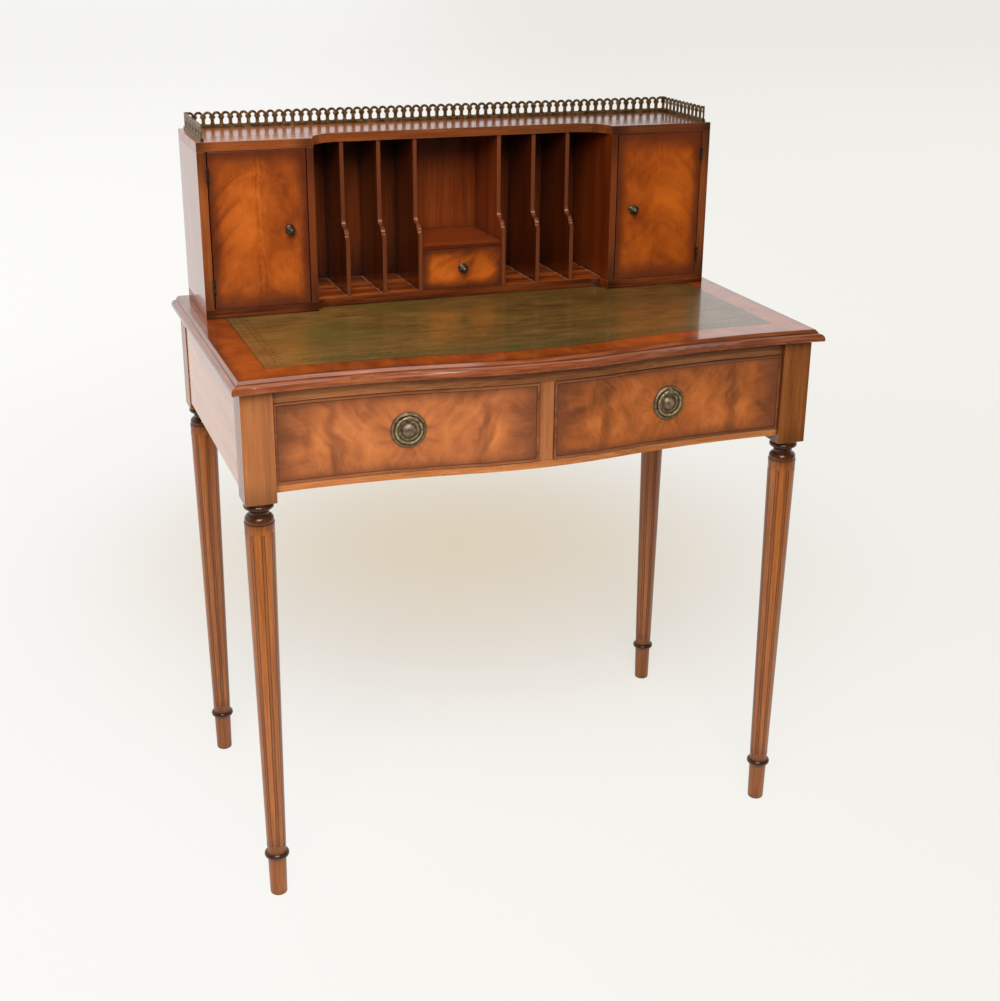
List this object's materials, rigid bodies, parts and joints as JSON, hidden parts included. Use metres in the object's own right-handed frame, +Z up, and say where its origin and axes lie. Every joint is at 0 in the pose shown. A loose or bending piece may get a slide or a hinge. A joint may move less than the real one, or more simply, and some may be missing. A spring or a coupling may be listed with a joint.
{
  "type": "bonheur du jour writing table",
  "caption": "Small mahogany writing table with a serpentine front, fluted turned legs and drawers, carrying a low cabinet of pigeonholes and cupboards under a pierced brass gallery.",
  "frame": {"origin": "on the floor under the middle of the table top", "axes": "+Z up, +X to the right as seen by the sitter, -Y towards the sitter"},
  "size_m": [0.828, 0.5, 1.0299],
  "materials": {
    "leather": "satin",
    "top_veneer": "polished",
    "apron_mahogany": "polished",
    "leg_mahogany": "polished",
    "drawer_veneer": "polished",
    "cockbead": "polished",
    "door_veneer": "polished",
    "small_drawer_veneer": "polished",
    "cabinet_mahogany": "polished",
    "cabinet_lining": "satin",
    "drawer_lining": "satin",
    "secondary_wood": "matte",
    "pull_brass": "aged",
    "knob_brass": "aged",
    "hinge_brass": "aged",
    "gallery_brass": "aged"
  },
  "bodies": {
    "table": {"back_apron": "secondary_wood", "cabinet_back": "cabinet_lining", "cabinet_bottom": "cabinet_mahogany", "cabinet_side_left": "cabinet_mahogany", "cabinet_side_right": "cabinet_mahogany", "cabinet_top": "cabinet_mahogany", "centre_runner": "secondary_wood", "centre_shelf": "cabinet_lining", "desk_top": "top_veneer", "drawer_divider": "apron_mahogany", "front_bottom_rail": "apron_mahogany", "front_top_rail": "apron_mahogany", "gallery": "gallery_brass", "hinge_case_leaves_left": "hinge_brass", "hinge_case_leaves_right": "hinge_brass", "leather_top": "leather", "leg_front_left": "leg_mahogany", "leg_front_right": "leg_mahogany", "leg_rear_left": "leg_mahogany", "leg_rear_right": "leg_mahogany", "partition_left": "cabinet_lining", "partition_right": "cabinet_lining", "pigeonhole_divider_1": "cabinet_lining", "pigeonhole_divider_2": "cabinet_lining", "pigeonhole_divider_3": "cabinet_lining", "pigeonhole_divider_4": "cabinet_lining", "pigeonhole_divider_5": "cabinet_lining", "pigeonhole_divider_6": "cabinet_lining", "side_apron_left": "apron_mahogany", "side_apron_right": "apron_mahogany", "side_runner_left": "secondary_wood", "side_runner_right": "secondary_wood"},
    "drawer_left": {"drawer_left_back": "drawer_lining", "drawer_left_bottom": "drawer_lining", "drawer_left_cockbead": "cockbead", "drawer_left_front": "drawer_veneer", "drawer_left_inner_side": "drawer_lining", "drawer_left_outer_side": "drawer_lining", "pull_plate_left": "pull_brass"},
    "drawer_right": {"drawer_right_back": "drawer_lining", "drawer_right_bottom": "drawer_lining", "drawer_right_cockbead": "cockbead", "drawer_right_front": "drawer_veneer", "drawer_right_inner_side": "drawer_lining", "drawer_right_outer_side": "drawer_lining", "pull_plate_right": "pull_brass"},
    "pull_ring_left": {"pull_ring_left": "pull_brass"},
    "pull_ring_right": {"pull_ring_right": "pull_brass"},
    "small_drawer": {"small_drawer_back": "drawer_lining", "small_drawer_bottom": "drawer_lining", "small_drawer_front": "small_drawer_veneer", "small_drawer_knob": "knob_brass", "small_drawer_left_side": "drawer_lining", "small_drawer_right_side": "drawer_lining"},
    "door_left": {"door_left": "door_veneer", "door_knob_left": "knob_brass", "hinge_door_leaves_left": "hinge_brass"},
    "door_right": {"door_right": "door_veneer", "door_knob_right": "knob_brass", "hinge_door_leaves_right": "hinge_brass"}
  },
  "joints": [
    {"name": "drawer_left_slide", "type": "slide", "parent": "table", "child": "drawer_left", "axis": [0, -1, 0], "range_m": [0, 0.3]},
    {"name": "pull_ring_left_swing", "type": "hinge", "parent": "drawer_left", "child": "pull_ring_left", "pos_m": [-0.18577, -0.21884, 0.69215], "axis": [-0.996, 0.0894, 0], "range_deg": [0, 95]},
    {"name": "door_left_hinge", "type": "hinge", "parent": "table", "child": "door_left", "pos_m": [-0.37425, 0.0904, 0.8832], "axis": [0, 0, -1], "range_deg": [0, 170]},
    {"name": "drawer_right_slide", "type": "slide", "parent": "table", "child": "drawer_right", "axis": [0, -1, 0], "range_m": [0, 0.3]},
    {"name": "pull_ring_right_swing", "type": "hinge", "parent": "drawer_right", "child": "pull_ring_right", "pos_m": [0.18577, -0.21884, 0.69215], "axis": [-0.996, -0.0894, 0], "range_deg": [0, 95]},
    {"name": "door_right_hinge", "type": "hinge", "parent": "table", "child": "door_right", "pos_m": [0.37425, 0.0904, 0.8832], "axis": [0, 0, 1], "range_deg": [0, 170]},
    {"name": "small_drawer_slide", "type": "slide", "parent": "table", "child": "small_drawer", "axis": [0, -1, 0], "range_m": [0, 0.085]}
  ]
}
